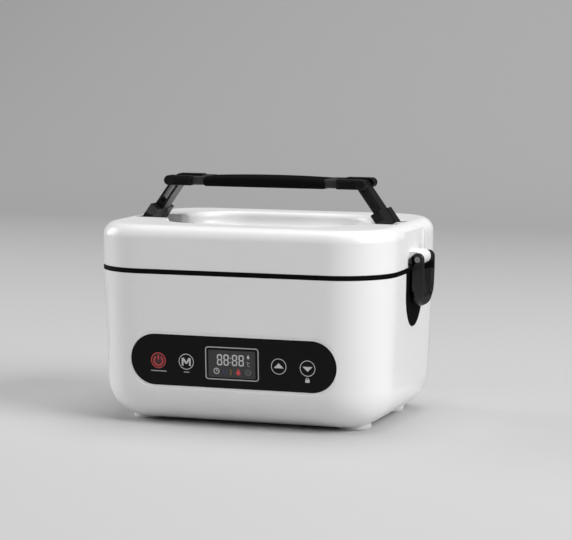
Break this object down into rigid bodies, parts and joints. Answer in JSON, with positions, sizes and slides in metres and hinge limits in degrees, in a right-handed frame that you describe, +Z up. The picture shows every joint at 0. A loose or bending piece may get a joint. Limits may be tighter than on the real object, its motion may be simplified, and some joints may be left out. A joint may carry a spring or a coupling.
{
  "type": "electric lunch box",
  "caption": "Rounded white heated lunch box with a black band, side latches, a folding arm handle over a hand well and a glossy touch panel on its front.",
  "frame": {"origin": "middle of the footprint, on the plane of the feet's undersides", "axes": "+X to the right along the long side, +Y to the back (the control panel faces -Y), +Z up"},
  "size_m": [0.2626, 0.1786, 0.1894],
  "materials": {
    "white_shell": "satin gloss moulded",
    "foot_rubber": "fine matte",
    "black_band": "satin black moulded",
    "panel_gloss": "high gloss film over plastic, with printed keys",
    "latch_black": "satin gloss black moulded",
    "handle_black": "satin gloss black moulded",
    "neck_grey": "grey moulded",
    "sleeve_soft": "soft matte, finely grained",
    "black_plastic": "matte moulded",
    "holder_plastic": "matte moulded",
    "display_glass": "polished",
    "board_green": "solder mask",
    "board_part_plastic": "moulded cases",
    "lead_cover": "insulation",
    "fuse_case": "glazed",
    "screw_steel": "zinc plated",
    "spring_steel": "drawn wire",
    "clamp_steel": "pressed sheet",
    "pin_steel": "ground",
    "pin_brass": "plated",
    "pot_metal": "anodised satin",
    "heater_alloy": "extruded",
    "tray_steel": "polished inside",
    "liner_plastic": "smooth",
    "tray_lid_plastic": "frosted",
    "silicone": "soft translucent",
    "silicone_blue": "soft"
  },
  "bodies": {
    "base": {"housing_shell": "white_shell", "base_cover": "white_shell", "base_screws": "screw_steel", "feet": "foot_rubber", "collar_frame": "black_band", "heating_pot": "pot_metal", "heater_plate": "heater_alloy", "heater_clamp": "clamp_steel", "heater_nuts": "screw_steel", "thermostat": "black_plastic", "thermal_fuse": "fuse_case", "temperature_sensor": "clamp_steel", "control_panel": "panel_gloss", "panel_holder": "holder_plastic", "panel_screws": "screw_steel", "display_module": "display_glass", "display_board": "board_green", "touch_springs": "spring_steel", "power_board": "board_green", "board_parts": "board_part_plastic", "board_screws": "screw_steel", "inlet_socket": "black_plastic", "inlet_pins": "pin_brass", "inlet_screws": "screw_steel", "mains_leads": "lead_cover", "heater_leads": "lead_cover", "display_lead": "lead_cover"},
    "lid": {"lid_shell": "white_shell", "lid_bowl": "white_shell", "lid_liner": "liner_plastic", "lid_seal": "silicone", "lid_screws": "screw_steel", "steam_vent": "silicone", "latch_pins": "pin_steel", "arm_pins": "pin_steel"},
    "latch_left": {"latch_left": "latch_black"},
    "latch_right": {"latch_right": "latch_black"},
    "arm_left": {"arm_left": "handle_black", "grip_pin_left": "pin_steel"},
    "arm_right": {"arm_right": "handle_black", "grip_pin_right": "pin_steel"},
    "grip": {"grip_core": "neck_grey", "grip_cheeks": "handle_black", "grip_sleeve": "sleeve_soft", "grip_screws": "screw_steel"},
    "tray": {"food_tray": "tray_steel"},
    "tray_cover": {"tray_lid": "tray_lid_plastic", "tray_seal": "silicone_blue"}
  },
  "joints": [
    {"name": "lid_lift", "type": "slide", "parent": "base", "child": "lid", "axis": [0, 0, 1], "range_m": [0, 0.08]},
    {"name": "latch_right_turn", "type": "hinge", "parent": "lid", "child": "latch_right", "pos_m": [0.1263, 0, 0.1286], "axis": [0, -1, 0], "range_deg": [0, 120]},
    {"name": "latch_left_turn", "type": "hinge", "parent": "lid", "child": "latch_left", "pos_m": [-0.1263, 0, 0.1286], "axis": [0, 1, 0], "range_deg": [0, 120]},
    {"name": "grip_drop", "type": "slide", "parent": "lid", "child": "grip", "axis": [0, 0, -1], "range_m": [0, 0.03399]},
    {"name": "arm_right_fold", "type": "hinge", "parent": "lid", "child": "arm_right", "pos_m": [0.1015, 0, 0.1501], "axis": [0, -1, 0], "range_deg": [0, 54.4]},
    {"name": "arm_left_fold", "type": "hinge", "parent": "lid", "child": "arm_left", "pos_m": [-0.1015, 0, 0.1501], "axis": [0, 1, 0], "range_deg": [0, 54.4]},
    {"name": "tray_lift", "type": "slide", "parent": "base", "child": "tray", "axis": [0, 0, 1], "range_m": [0, 0.024]},
    {"name": "tray_cover_lift", "type": "slide", "parent": "base", "child": "tray_cover", "axis": [0, 0, 1], "range_m": [0, 0.052]}
  ],
  "couplings": [
    {"joint": "latch_right_turn", "follows": "lid_lift", "rad_per_m": 26.18},
    {"joint": "latch_left_turn", "follows": "lid_lift", "rad_per_m": 26.18},
    {"joint": "tray_lift", "follows": "lid_lift", "ratio": 0.3},
    {"joint": "tray_cover_lift", "follows": "lid_lift", "ratio": 0.65},
    {"joint": "arm_right_fold", "follows": "grip_drop", "rad_per_m": 27.935},
    {"joint": "arm_left_fold", "follows": "grip_drop", "rad_per_m": 27.935}
  ]
}
